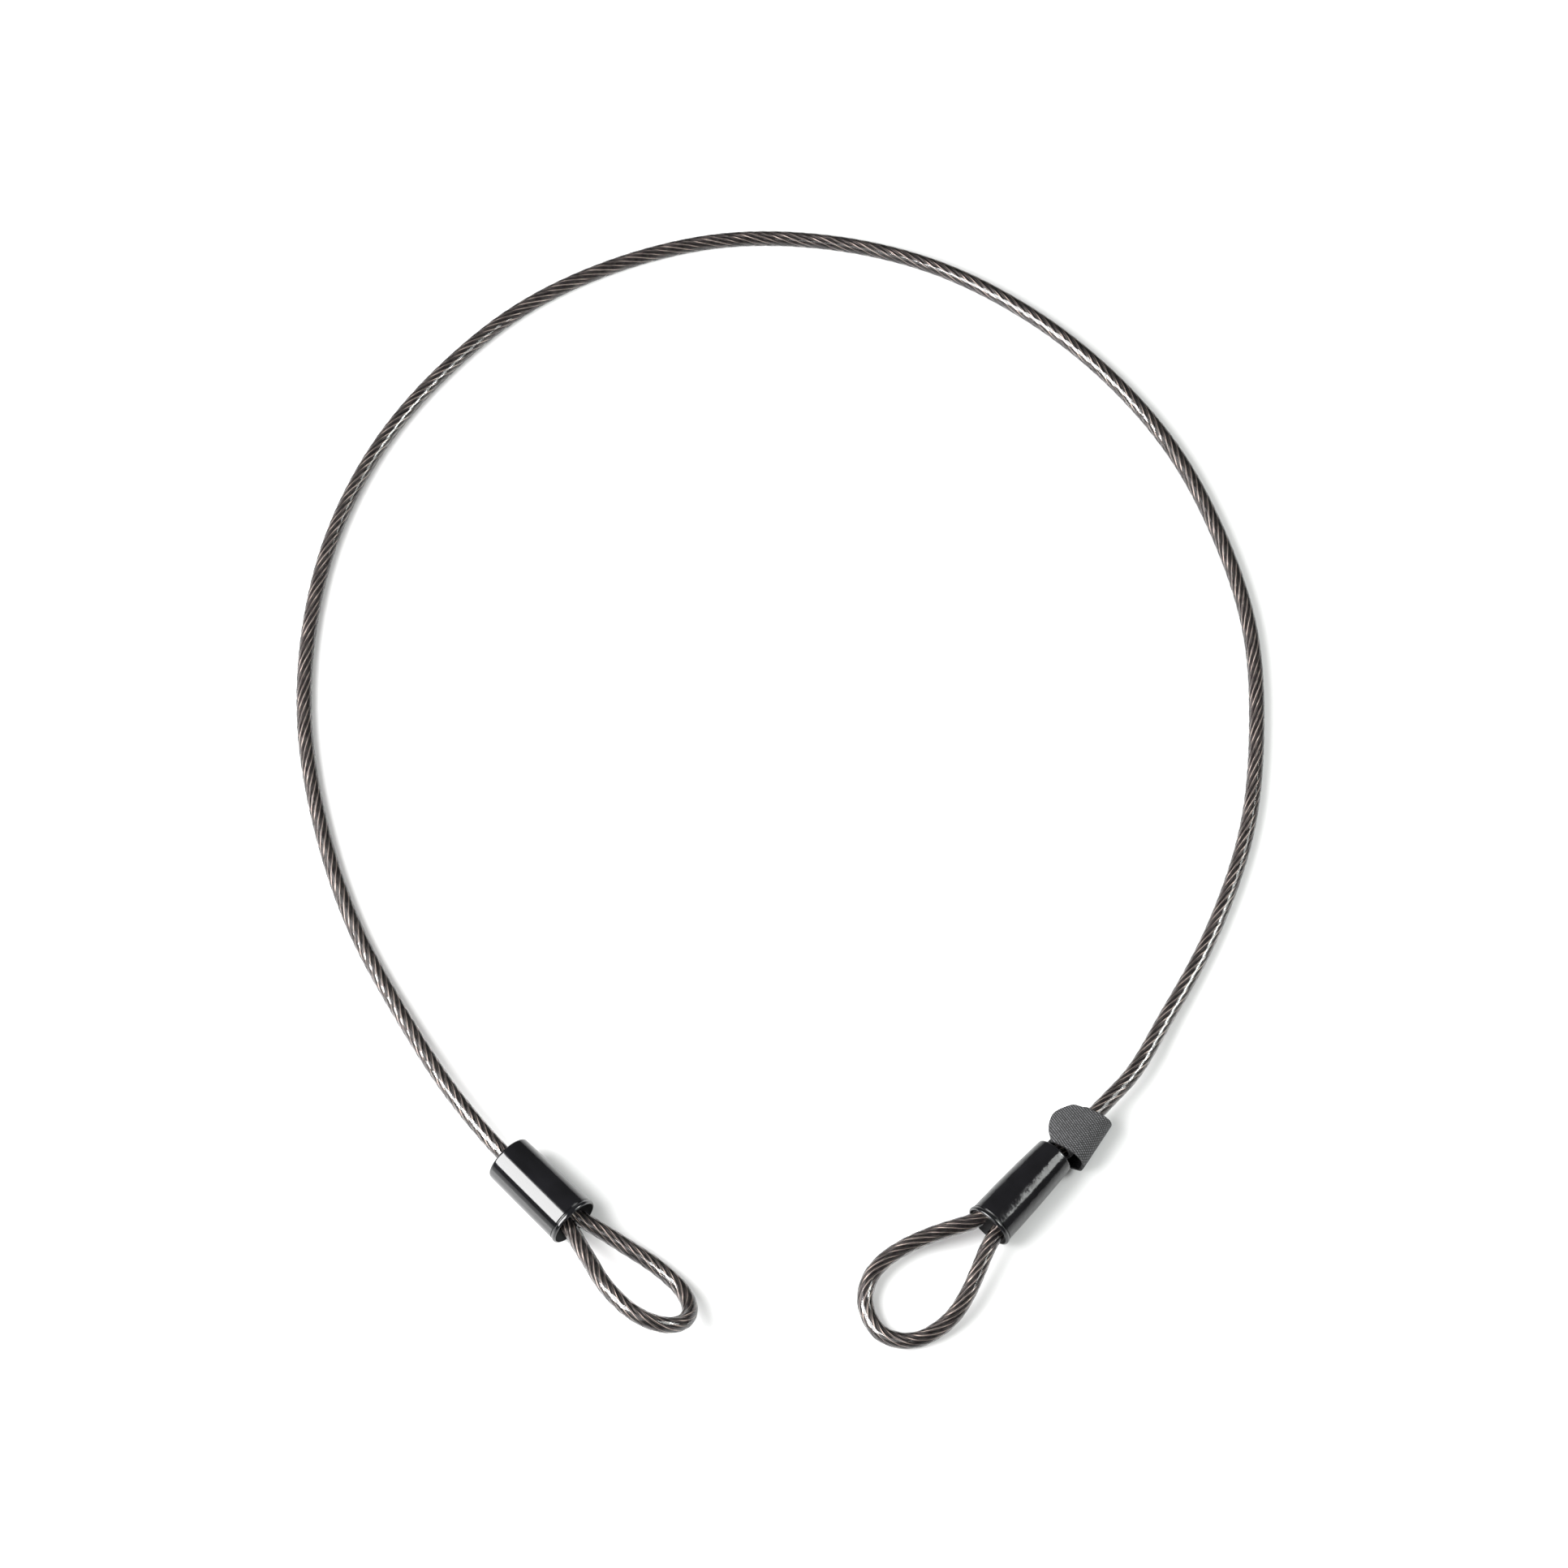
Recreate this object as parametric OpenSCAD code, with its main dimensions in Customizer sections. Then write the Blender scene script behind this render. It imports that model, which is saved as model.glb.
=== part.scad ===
// Double-loop security cable: a steel wire rope in a vinyl jacket, with an eye at each end.
// Each eye is closed by a crimped aluminium ferrule under a plastic cover, and a hook-and-loop
// strap is wound round the cable beside the right cover.
//
// Millimetres, +Z up. The cable lies on the plane z = 0. The origin is on that plane, midway
// between the two ends, and the cable loops round behind it, towards +Y.

/* [Cable] */
// Outer diameter of the vinyl jacket
jacket_d = 7; // [6:0.25:8]
// Diameter of the steel wire rope inside the jacket
rope_d = 4; // [3:0.25:4.5]

/* [Left cover] */
// Where the middle of the left cover's mouth is, seen from above
left_mouth = [-95, -1]; // [-120:0.5:120]
// Which way the left cover's mouth faces, in degrees from +X
left_heading = -46; // [-60:0.5:-30]
// Length of the left cover
left_cover_len = 42; // [38:0.5:50]
// Diameter of the left cover's body at its closed end
left_end_d = 22; // [20:0.1:23]
// Diameter of the left cover's body beside its rim
left_body_d = 22.7; // [21:0.1:23.2]
// Diameter of the left cover's rim
left_rim_d = 23.4; // [22.8:0.1:26]

/* [Right cover] */
// Where the middle of the right cover's mouth is, seen from above
right_mouth = [80.5, -2.5]; // [-120:0.1:120]
// Which way the right cover's mouth faces, in degrees from +X
right_heading = -131.5; // [-145:0.5:-120]
// Length of the right cover
right_cover_len = 44.5; // [40:0.5:50]
// Diameter of the right cover's body at its closed end
right_end_d = 17.8; // [17:0.1:20]
// Diameter of the right cover's body beside its rim
right_body_d = 20.6; // [18:0.1:21.4]
// Diameter of the right cover's rim
right_rim_d = 21.6; // [20.8:0.1:24]

/* [Both covers] */
// Thickness of a cover's closed end
end_wall = 2; // [1.5:0.1:3]
// Radius of the rounded edge at the closed end
end_round = 1.2; // [0.6:0.1:1.6]
// Width of the rim, along the cover
rim_len = 2; // [1.6:0.1:4]
// Radius of the rim's rounded edges
rim_round = 0.8; // [0.4:0.05:0.8]
// Width of the groove beside the rim
groove_w = 0.6; // [0.4:0.1:1.2]
// Depth of the groove beside the rim
groove_depth = 0.5; // [0.2:0.1:0.8]
// Wall left round the mouth, measured at the rim
mouth_wall = 0.9; // [0.8:0.05:1.1]
// Depth of the wide part of the mouth
mouth_depth = 7; // [6:0.5:9]
// Radial room round the cable where it enters a cover
entry_room = 0.4; // [0.3:0.05:0.8]

/* [Ferrules] */
// Length of a ferrule
ferrule_len = 16; // [12:0.5:17]
// How far the ferrule sits in from the mouth
ferrule_inset = 8; // [7.5:0.5:9]
// Wall of a ferrule round each bore
ferrule_wall = 1.9; // [1.5:0.1:2.1]
// Radial room between the rope and a ferrule's bore
bore_room = 0.1; // [0.1:0.05:0.3]
// Metal left between a ferrule's two bores
ferrule_web = 0.7; // [0.5:0.1:0.9]
// Radial room between a ferrule and its cover
seat_room = 0.2; // [0.15:0.05:0.3]
// Number of crimped bands on a ferrule
crimp_count = 3; // [1:1:4]
// Width of a crimped band
crimp_w = 2.4; // [1.5:0.1:2.6]
// Depth of a crimped band
crimp_depth = 0.4; // [0.2:0.05:0.7]

/* [Eyes] */
// Roll of the left eye about its cover's axis, in degrees; below 0 its outer leg is the high one
left_roll = -36; // [-40:1:-30]
// Climb of the left eye away from its cover, in degrees
left_pitch = 4.5; // [4:0.5:8]
// Roll of the right eye about its cover's axis, in degrees
right_roll = 0; // [-4:1:4]
// Climb of the right eye away from its cover, in degrees; below 0 it comes down to the ground
right_pitch = -6.4; // [-6.4:0.1:4]
// How far the tail of the rope stands out of its ferrule
tail_len = 0.5; // [0.2:0.1:0.8]

/* [Strap] */
// Width of the strap
strap_w = 21; // [16:0.5:24]
// Gap between the right cover and the strap
strap_gap = 3; // [1:0.5:6]
// Thickness of the black hook tape, on the strap's inner side
hook_t = 0.65; // [0.5:0.05:0.8]
// Thickness of the grey loop tape, on the strap's outer side
loop_t = 0.65; // [0.5:0.05:0.8]
// How many times the strap goes round the cable
strap_turns = 1.5; // [1.5:1:2.5]
// Room between the cable and the strap, and between the strap's turns
strap_room = 0.2; // [0.15:0.05:0.3]
// How far the loose tongue reaches from the top of the wrap
tongue_len = 11.5; // [11:0.5:20]
// How far the strap can slide away from the right cover
strap_travel = 15; // [5:1:20]

/* [Hidden] */

// Both ends are described by pairs of values, the left one first
LEFT = 0;
RIGHT = 1;
mouth_xy = [left_mouth, right_mouth];
heading = [left_heading, right_heading];
cover_len = [left_cover_len, right_cover_len];
end_r = [left_end_d, right_end_d] / 2;
body_r = [left_body_d, right_body_d] / 2;
rim_r = [left_rim_d, right_rim_d] / 2;
roll = [left_roll, right_roll];
pitch = [left_pitch, right_pitch];

// Cable: polygonal tubes whose flats lie at the true radius, so that one flat rests on z = 0
sides = 12;
corner = 1 / cos(180 / sides);
jacket_r = jacket_d / 2;
rope_r = rope_d / 2;
// Room between the rope and the inside of the jacket
jacket_room = 0.05;
jacket_bore_r = rope_r + jacket_room;
// Rings along the cable: three diameters apart on the long stretch, closer round an eye
main_step = 3 * jacket_d;
eye_step = 0.9 * jacket_d;

// Ferrule: two bores side by side, in the plane of the eye
bore_r = rope_r * corner + bore_room;
bore_offset = bore_r + ferrule_web / 2;
ferrule_r = bore_r + ferrule_wall;
ferrule_front = -ferrule_inset;
ferrule_back = ferrule_front - ferrule_len;
// The jacket is stripped off this far before the ferrule
strip_len = 1;
rope_joint = ferrule_back - strip_len;
// The rope runs straight this far past the front of its ferrule
rope_ease = 1.5;
// A cutter stands out this far at both ends of what it cuts
overcut = 1;

// Cover: a bore that seats the ferrule, a wider mouth, and a hole for the cable
cavity_r = bore_offset + ferrule_r + seat_room;
entry_r = jacket_r * corner + entry_room;
mouth_r = [for (r = rim_r) r - mouth_wall];

// The long stretch leaves the right cover in a straight line, where the strap slides
strap_heading = 48.5;
strap_dip = 4;
strap_dir = [cos(strap_heading) * cos(strap_dip), sin(strap_heading) * cos(strap_dip), -sin(strap_dip)];
strap_up = [cos(strap_heading) * sin(strap_dip), sin(strap_heading) * sin(strap_dip), cos(strap_dip)];
// Straight cable left beyond the strap at the end of its travel, and the start of the bend after it
strap_end_room = 3;
bend_start = 4;
straight_len = strap_gap + strap_w + strap_travel + strap_end_room;

// The long stretch, from the right cover to the left one: x, y, and height above lying flat
main_route = [
    [160, 98, 1.5], [183, 143, 0], [199, 191, 0], [205, 240, 0], [204, 290, 0], [192, 339, 0],
    [172, 385, 0], [143, 425, 0], [106, 459, 0], [63, 484, 0], [15, 497, 0], [-35, 498, 0],
    [-83, 485, 0], [-127, 461, 0], [-163, 427, 0], [-192, 386, 0], [-211, 340, 0],
    [-220, 291, 0], [-220, 241, 0], [-211, 192, 0], [-195, 144, 0], [-172, 99, 1.5],
    [-145, 55, 6]
];

// Each eye in its own plane: distance out of the mouth, and distance to the left of the axis
left_eye_route = [
    [-3, -3.9], [3, -5.2], [12, -8.5], [22, -12], [32, -15.5], [42, -17], [51, -16.5],
    [59, -13], [64, -7.5], [66, 0], [64, 7.5], [59, 13], [51, 16.5], [42, 17], [32, 15.5],
    [22, 12.5], [12, 9.5], [3, 6.3], [-3, 3.9]
];
right_eye_route = [
    [-3, -4.4], [3, -7], [10, -11.4], [20, -17.2], [30, -21.6], [40, -24.1], [49, -23.6],
    [57.5, -19.2], [62.5, -12.3], [64.5, -4.5], [62, 3.5], [56.5, 9.5], [48, 13.1], [38, 14.2],
    [28, 12.6], [17, 9.3], [8, 6.3], [3, 5.1], [-3, 4.2]
];
eye_route = [left_eye_route, right_eye_route];

// Strap
tape_t = hook_t + loop_t;
wrap_pitch = tape_t + strap_room;
wrap_r = jacket_r * corner + strap_room;
wrap_angle = 360 * strap_turns;
tape_step = 15;
tongue_y = wrap_r + wrap_pitch * strap_turns;
// Gap at the line where the tongue bends
tongue_gap = 0.3;

// Colours
vinyl = [0.22, 0.2, 0.2, 0.6];
steel = [0.45, 0.44, 0.42];
aluminium = [0.75, 0.76, 0.78];
black_plastic = [0.05, 0.05, 0.06];
black_hook = [0.06, 0.06, 0.07];
grey_loop = [0.28, 0.28, 0.29];

// Smoothness of round parts
$fn = 64;

// ---- Points and directions ----

function unit(v) = v / norm(v);

// A point in a cover's own frame (x out of its mouth, y to the left, z up), put in the part's frame
function place(end, p) =
    let (h = heading[end])
    [
        mouth_xy[end].x + p.x * cos(h) - p.y * sin(h),
        mouth_xy[end].y + p.x * sin(h) + p.y * cos(h),
        rim_r[end] + p.z
    ];

// A point inside a cover, at distance w from its axis in the plane of the eye
function in_cover(end, x, w) = place(end, [x, w * cos(roll[end]), w * sin(roll[end])]);

// A point of an eye's route. Outside the cover the eye's plane is pitched as well as rolled
function in_eye(end, p) =
    let (t = p.x > 0 ? pitch[end] : 0, r = roll[end])
    place(end, [
        p.x * cos(t) - p.y * sin(t) * sin(r),
        p.y * cos(r),
        p.x * sin(t) + p.y * cos(t) * sin(r)
    ]);

// Where the cable leaves a cover, and the direction from the mouth's end to the closed end
function exit_point(end) = place(end, [-cover_len[end], 0, 0]);
function inward(end) = [cos(heading[end]), sin(heading[end]), 0];

// ---- Curves ----

// Direction at the middle one of three points: that of the parabola through them
function middle_direction(p, q, s) =
    let (a = q - p, b = s - q)
    (a * norm(b) / norm(a) + b * norm(a) / norm(b)) / (norm(a) + norm(b));

// Direction at each point of a route, level where the cable lies on the ground
function tangents(p, first, last) =
    let (n = len(p) - 1)
    [
        first,
        for (i = [1 : n - 1])
            let (v = middle_direction(p[i - 1], p[i], p[i + 1]))
                p[i].z > jacket_r ? v : [v.x, v.y, 0],
        last
    ];

// A point, and its direction, on the cubic from p to q at u, where v and w are the directions
function cubic(p, q, v, w, u) =
    let (d = norm(q - p))
    [
        (2 * u^3 - 3 * u^2 + 1) * p + (u^3 - 2 * u^2 + u) * d * v
            + (3 * u^2 - 2 * u^3) * q + (u^3 - u^2) * d * w,
        unit((6 * u^2 - 6 * u) * (p - q) + (3 * u^2 - 4 * u + 1) * d * v + (3 * u^2 - 2 * u) * d * w)
    ];

// The stations of a smooth curve through the points p, no more than step apart
function curve(p, first, last, step) =
    let (v = tangents(p, first, last), n = len(p) - 1)
    [
        for (i = [0 : n - 1])
            let (count = ceil(norm(p[i + 1] - p[i]) / step))
                for (k = [0 : count - 1]) cubic(p[i], p[i + 1], v[i], v[i + 1], k / count),
        [p[n], last]
    ];

// ---- Tubes ----

// One ring of a tube, with a flat at its lowest side
function ring(station, r) =
    let (side = unit(cross([0, 0, 1], station[1])), up = cross(station[1], side))
    [
        for (i = [0 : sides - 1])
            let (a = 360 * (i + 0.5) / sides)
                station[0] + r * corner * (cos(a) * side + sin(a) * up)
    ];

// Faces between ring j and the next one, where the wall's points start at index from
function wall_faces(j, from, outside) =
    [
        for (i = [0 : sides - 1])
            let (
                a = from + j * sides + i,
                b = from + j * sides + (i + 1) % sides,
                c = b + sides,
                d = a + sides
            )
                each outside ? [[a, d, c], [a, c, b]] : [[a, c, d], [a, b, c]]
    ];

// A tube along the stations. With a bore it is a pipe, and with a bore of 0 it is solid
module tube(stations, r, bore = 0) {
    n = len(stations);
    outer = [for (s = stations) each ring(s, r)];
    inner = bore > 0 ? [for (s = stations) each ring(s, bore)] : [];
    from = n * sides;
    last = (n - 1) * sides;
    ends = bore > 0
        ? [
            for (i = [0 : sides - 1])
                let (k = (i + 1) % sides)
                    each [
                        [i, k, from + k, from + i],
                        [last + k, last + i, from + last + i, from + last + k]
                    ]
        ]
        : [[for (i = [0 : sides - 1]) i], [for (i = [sides - 1 : -1 : 0]) last + i]];
    walls = [
        for (j = [0 : n - 2])
            each concat(wall_faces(j, 0, true), bore > 0 ? wall_faces(j, from, false) : [])
    ];
    polyhedron(concat(outer, inner), concat(walls, ends), convexity = 10);
}

// ---- The cable ----

// The long stretch starts and ends inside the covers, beside the ferrules
main_stations = curve(
    [
        in_cover(RIGHT, rope_joint, -bore_offset),
        exit_point(RIGHT) - end_wall * strap_dir,
        exit_point(RIGHT),
        exit_point(RIGHT) + straight_len / 2 * strap_dir,
        exit_point(RIGHT) + straight_len * strap_dir,
        exit_point(RIGHT) + (straight_len + bend_start) * strap_dir,
        for (p = main_route) [p.x, p.y, jacket_r + p.z],
        exit_point(LEFT),
        exit_point(LEFT) + end_wall * inward(LEFT),
        in_cover(LEFT, rope_joint, -bore_offset)
    ],
    -inward(RIGHT),
    inward(LEFT),
    main_step
);

// The rope of one end: through its ferrule, round the eye and back, to its cut tail
function eye_rope_points(end) =
    [
        for (x = [rope_joint, ferrule_back, ferrule_front, ferrule_front + rope_ease])
            in_cover(end, x, -bore_offset),
        for (p = eye_route[end]) in_eye(end, p),
        for (x = [ferrule_front + rope_ease, ferrule_front, ferrule_back, ferrule_back - tail_len])
            in_cover(end, x, bore_offset)
    ];

// The stations of the eye's jacket are those of its rope between the two stripped lengths
function eye_rope_stations(end) =
    curve(eye_rope_points(end), inward(end), -inward(end), eye_step);
function eye_jacket_stations(end) =
    let (
        all = eye_rope_stations(end),
        first = in_eye(end, eye_route[end][0]),
        last = in_eye(end, eye_route[end][len(eye_route[end]) - 1]),
        here = [for (i = [0 : len(all) - 1]) if (norm(all[i][0] - first) < 0.001 || norm(all[i][0] - last) < 0.001) i]
    )
    [for (i = [here[0] : here[1]]) all[i]];

module main_jacket() {
    color(vinyl) tube(main_stations, jacket_r, jacket_bore_r);
}

module main_rope() {
    color(steel) tube(main_stations, rope_r);
}

module eye_jacket(end) {
    color(vinyl) tube(eye_jacket_stations(end), jacket_r, jacket_bore_r);
}

module eye_rope(end) {
    color(steel) tube(eye_rope_stations(end), rope_r);
}

// ---- Ferrules ----

// A bar of oval section along +X: two rods side by side with the space between them filled
module oval_bar(from, length, r) {
    translate([from, 0, 0]) {
        for (w = [-bore_offset, bore_offset])
            translate([0, w, 0]) rotate([0, 90, 0]) cylinder(r = r, h = length);
        translate([0, -bore_offset, -r]) cube([length, 2 * bore_offset, 2 * r]);
    }
}

module ferrule(end) {
    land_w = (ferrule_len - crimp_count * crimp_w) / (crimp_count + 1);
    color(aluminium)
        translate(place(end, [0, 0, 0])) rotate([roll[end], 0, heading[end]])
            difference() {
                union() {
                    oval_bar(ferrule_back, ferrule_len, ferrule_r - crimp_depth);
                    for (i = [0 : crimp_count])
                        oval_bar(ferrule_back + i * (land_w + crimp_w), land_w, ferrule_r);
                }
                for (w = [-bore_offset, bore_offset])
                    translate([ferrule_back - overcut, w, 0]) rotate([0, 90, 0])
                        cylinder(r = bore_r, h = ferrule_len + 2 * overcut);
            }
}

// ---- Covers ----

// A quarter round from one angle to the next, as points about a middle
function quarter(middle, r, from) =
    [for (a = [0 : 15 : 90]) middle + r * [cos(from - a), sin(from - a)]];

// Half section of a cover: distance from its axis, and distance out of its mouth
function cover_section(end) =
    [
        [entry_r, -cover_len[end]],
        each [
            for (a = [-90 : 15 : 0])
                [end_r[end] - end_round, end_round - cover_len[end]] + end_round * [cos(a), sin(a)]
        ],
        [body_r[end], -rim_len - groove_w],
        [body_r[end] - groove_depth, -rim_len - groove_w / 2],
        [body_r[end], -rim_len],
        each [
            for (a = [-90 : 15 : 0])
                [rim_r[end] - rim_round, rim_round - rim_len] + rim_round * [cos(a), sin(a)]
        ],
        each [
            for (a = [0 : 15 : 90])
                [rim_r[end] - rim_round, -rim_round] + rim_round * [cos(a), sin(a)]
        ],
        [mouth_r[end], 0],
        [mouth_r[end], -mouth_depth],
        [cavity_r, -mouth_depth],
        [cavity_r, end_wall - cover_len[end]],
        [entry_r, end_wall - cover_len[end]]
    ];

module cover(end) {
    color(black_plastic)
        translate(place(end, [0, 0, 0])) rotate([0, 90, heading[end]])
            rotate_extrude() polygon(cover_section(end));
}

// ---- Strap ----

// Strap frame: z along the cable from the right cover, x to the left, y up
module on_strap() {
    translate(exit_point(RIGHT) + strap_gap * strap_dir)
        rotate([0, strap_dip, strap_heading]) rotate([90, 0, 90]) children();
}

// A point of the wound strap, a degrees along it from its inner end, at a depth from its inner face
function on_turn(a, depth) =
    let (r = wrap_r + depth + wrap_pitch * a / 360, b = 90 + wrap_angle - a)
    [r * cos(b), r * sin(b)];

// A tape wound round the cable, from one depth to another
module wound_tape(inner, outer) {
    linear_extrude(strap_w)
        polygon([
            for (a = [0 : tape_step : wrap_angle]) on_turn(a, inner),
            for (a = [wrap_angle : -tape_step : 0]) on_turn(a, outer)
        ]);
}

// The loose end of a tape: flat, with a half-round tip
module tongue_tape(inner, outer) {
    tip = tongue_len - strap_w / 2;
    t = outer - inner;
    translate([0, tongue_y + inner, 0])
        intersection() {
            union() {
                translate([tip, 0, strap_w / 2]) rotate([-90, 0, 0]) cylinder(d = strap_w, h = t);
                cube([max(tip, tongue_gap), t, strap_w]);
            }
            translate([tongue_gap, -overcut, -overcut])
                cube([tongue_len, t + 2 * overcut, strap_w + 2 * overcut]);
        }
}

module strap_hook_tape() {
    color(black_hook) on_strap() wound_tape(0, hook_t);
}

module strap_loop_tape() {
    color(grey_loop) on_strap() wound_tape(hook_t, tape_t);
}

module tongue_hook_tape() {
    color(black_hook) on_strap() tongue_tape(0, hook_t);
}

module tongue_loop_tape() {
    color(grey_loop) on_strap() tongue_tape(hook_t, tape_t);
}

// ---- The part ----

main_jacket();
main_rope();
eye_jacket(LEFT);  // left_eye_jacket
eye_rope(LEFT);  // left_eye_rope
eye_jacket(RIGHT);  // right_eye_jacket
eye_rope(RIGHT);  // right_eye_rope
ferrule(LEFT);  // left_ferrule
ferrule(RIGHT);  // right_ferrule
cover(LEFT);  // left_cover
cover(RIGHT);  // right_cover
strap_hook_tape();
strap_loop_tape();
tongue_hook_tape();
tongue_loop_tape();
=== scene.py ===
import math

import bpy
import numpy as np
from mathutils import Euler, Matrix


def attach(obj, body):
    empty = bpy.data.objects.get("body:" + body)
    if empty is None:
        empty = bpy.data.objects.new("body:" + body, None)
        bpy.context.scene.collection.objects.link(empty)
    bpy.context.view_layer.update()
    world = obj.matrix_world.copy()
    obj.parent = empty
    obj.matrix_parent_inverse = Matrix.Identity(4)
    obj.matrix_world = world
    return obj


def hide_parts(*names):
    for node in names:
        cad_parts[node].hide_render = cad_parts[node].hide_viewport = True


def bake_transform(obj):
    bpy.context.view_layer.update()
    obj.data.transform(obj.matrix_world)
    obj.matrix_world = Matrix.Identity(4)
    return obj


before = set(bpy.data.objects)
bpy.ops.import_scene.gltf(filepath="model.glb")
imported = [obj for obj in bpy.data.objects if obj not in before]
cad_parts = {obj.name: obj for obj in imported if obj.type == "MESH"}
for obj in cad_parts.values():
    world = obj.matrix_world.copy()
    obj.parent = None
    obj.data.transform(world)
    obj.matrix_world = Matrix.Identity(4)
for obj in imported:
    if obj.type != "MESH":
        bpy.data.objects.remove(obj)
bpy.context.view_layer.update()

# A double-loop security cable, in metres: wire rope in a clear smoke-grey vinyl jacket, an eye with a
# black cover at each end, and a hook-and-loop strap wound round the cable beside the right cover.

# ---- Camera ----

CAMERA_ELEVATION = 63  # degrees above the floor
AIM = (-0.006, 0.214, 0.0)
CAMERA_DISTANCE = 2.3465
SENSOR = 36.0
FOCAL_SHARE = 6500 / 1932  # focal length over the width of the frame


def make_camera():
    tilt = math.radians(CAMERA_ELEVATION)
    camera = bpy.data.objects.new("camera", bpy.data.cameras.new("camera"))
    camera.data.sensor_width = SENSOR
    camera.data.lens = SENSOR * FOCAL_SHARE
    camera.data.clip_end = 20
    camera.location = (
        AIM[0],
        AIM[1] - CAMERA_DISTANCE * math.cos(tilt),
        AIM[2] + CAMERA_DISTANCE * math.sin(tilt),
    )
    camera.rotation_euler = (math.pi / 2 - tilt, 0, 0)
    bpy.context.collection.objects.link(camera)
    bpy.context.scene.camera = camera


make_camera()

# ---- Sizes ----

JACKET_R = 0.0035
ROPE_R = 0.002
STRANDS = 6
WIRES = 6
STRAND_R = ROPE_R / 3
WIRE_R = STRAND_R / 3
LAY = 0.0366  # length of one turn of a strand round the rope
WIRE_LAY = 3 * LAY  # length of one turn of a wire round its strand
WAVE = 0.00011  # depth of the furrows that the strands leave in the jacket
FURROW = 0.12  # how rounded the bottom of a furrow is, from 0 for a sharp one

# A cover: its closed end is where the cable leaves it, and its mouth is where the eye comes out
END_WALL = 0.002
END_ROUND = 0.0012
RIM_LEN = 0.002
RIM_ROUND = 0.0008
GROOVE_W = 0.0006
GROOVE_SINK = 0.00005  # how far the middle of the groove's round section lies below the surface
MOUTH_WALL = 0.0009
MOUTH_DEPTH = 0.007
LIP_ROUND = 0.0003
BARREL = 0.9  # a cover widens faster than evenly by this share near its closed end

# The CAD's cable has twelve sides, and its corners stand out further than its faces
CAD_CORNER = 1 / math.cos(math.pi / 12)
ENTRY_ROOM = 0.0004
ENTRY_R = JACKET_R * CAD_CORNER + ENTRY_ROOM
BORE_ROOM = 0.0001
BORE_R = ROPE_R * CAD_CORNER + BORE_ROOM
BORE_WALL = 0.0007  # between the two bores of a ferrule
BORE_OFFSET = BORE_R + BORE_WALL / 2
FERRULE_WALL = 0.0019
FERRULE_R = BORE_R + FERRULE_WALL
CAVITY_ROOM = 0.0002
CAVITY_R = BORE_OFFSET + FERRULE_R + CAVITY_ROOM

# Places along a cover's axis are distances out of its mouth, so they are negative inside it
FERRULE_FRONT = -0.008
FERRULE_LEN = 0.016
FERRULE_BACK = FERRULE_FRONT - FERRULE_LEN
ROPE_JOINT = FERRULE_BACK - 0.001  # the long stretch's rope and the eye's rope meet here
TAIL = 0.0005  # the rope's cut end sticks out of its ferrule this far
EASE = 0.0015  # the rope runs straight this far past a ferrule

STRAP_W = 0.021
STRAP_GAP = 0.003  # between the right cover and the strap
STRAP_TRAVEL = 0.015
STRAP_END_ROOM = 0.003  # past the strap at the end of its travel
STRAP_HEADING = math.radians(48.5)  # the way that the cable runs under the strap
STRAP_DIP = math.radians(4)  # and how steeply it goes down there
STRAIGHT_LEN = STRAP_GAP + STRAP_W + STRAP_TRAVEL + STRAP_END_ROOM
BEND_START = 0.004  # the cable keeps its direction this far past its straight length
TAPE_T = 0.00065  # thickness of each of the strap's two tapes
STRAP_ROOM = 0.0002
STRAP_TURNS = 1.5
WRAP_R = JACKET_R * CAD_CORNER + STRAP_ROOM
WRAP_PITCH = 2 * TAPE_T + STRAP_ROOM
STRAP_LEN = 2 * math.pi * STRAP_TURNS * (WRAP_R + WRAP_PITCH * STRAP_TURNS / 2)
TONGUE_Y = WRAP_R + WRAP_PITCH * STRAP_TURNS  # height of the tongue over the cable's axis

UP = np.array([0.0, 0.0, 1.0])


def unit(v):
    return v / np.linalg.norm(v)


class End:
    """One end of the cable: its cover's place and size, and its eye.

    The heading is the way that the mouth faces. The eye is a list of points in the eye's own
    plane: distance out of the mouth, and distance to the left. That plane is rolled about the
    cover's axis, and pitched up outside the mouth. All angles are in degrees.
    """

    def __init__(self, name, mouth, heading, length, end_r, body_r, rim_r, roll, pitch, eye):
        self.name = name
        self.heading = math.radians(heading)
        self.mouth = np.array([*mouth, rim_r])
        self.length = length
        self.end_r = end_r
        self.body_r = body_r
        self.rim_r = rim_r
        self.roll = math.radians(roll)
        self.pitch = math.radians(pitch)
        self.eye = eye
        self.out = np.array([math.cos(self.heading), math.sin(self.heading), 0.0])
        self.left = np.cross(UP, self.out)

    def place(self, x, y, z):
        """A point in the cover's own frame: x out of its mouth, y to the left, z up."""
        return self.mouth + x * self.out + y * self.left + z * UP

    def in_cover(self, x, w):
        """A point inside the cover, at distance w from its axis in the eye's plane."""
        return self.place(x, w * math.cos(self.roll), w * math.sin(self.roll))

    def in_eye(self, x, w):
        """A point of the eye, whose plane is pitched as well as rolled outside the cover."""
        pitch = self.pitch if x > 0 else 0.0
        lift = w * math.sin(self.roll)
        return self.place(
            x * math.cos(pitch) - lift * math.sin(pitch),
            w * math.cos(self.roll),
            x * math.sin(pitch) + lift * math.cos(pitch),
        )

    def exit(self):
        """Where the long stretch of the cable leaves the cover."""
        return self.place(-self.length, 0, 0)


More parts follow.
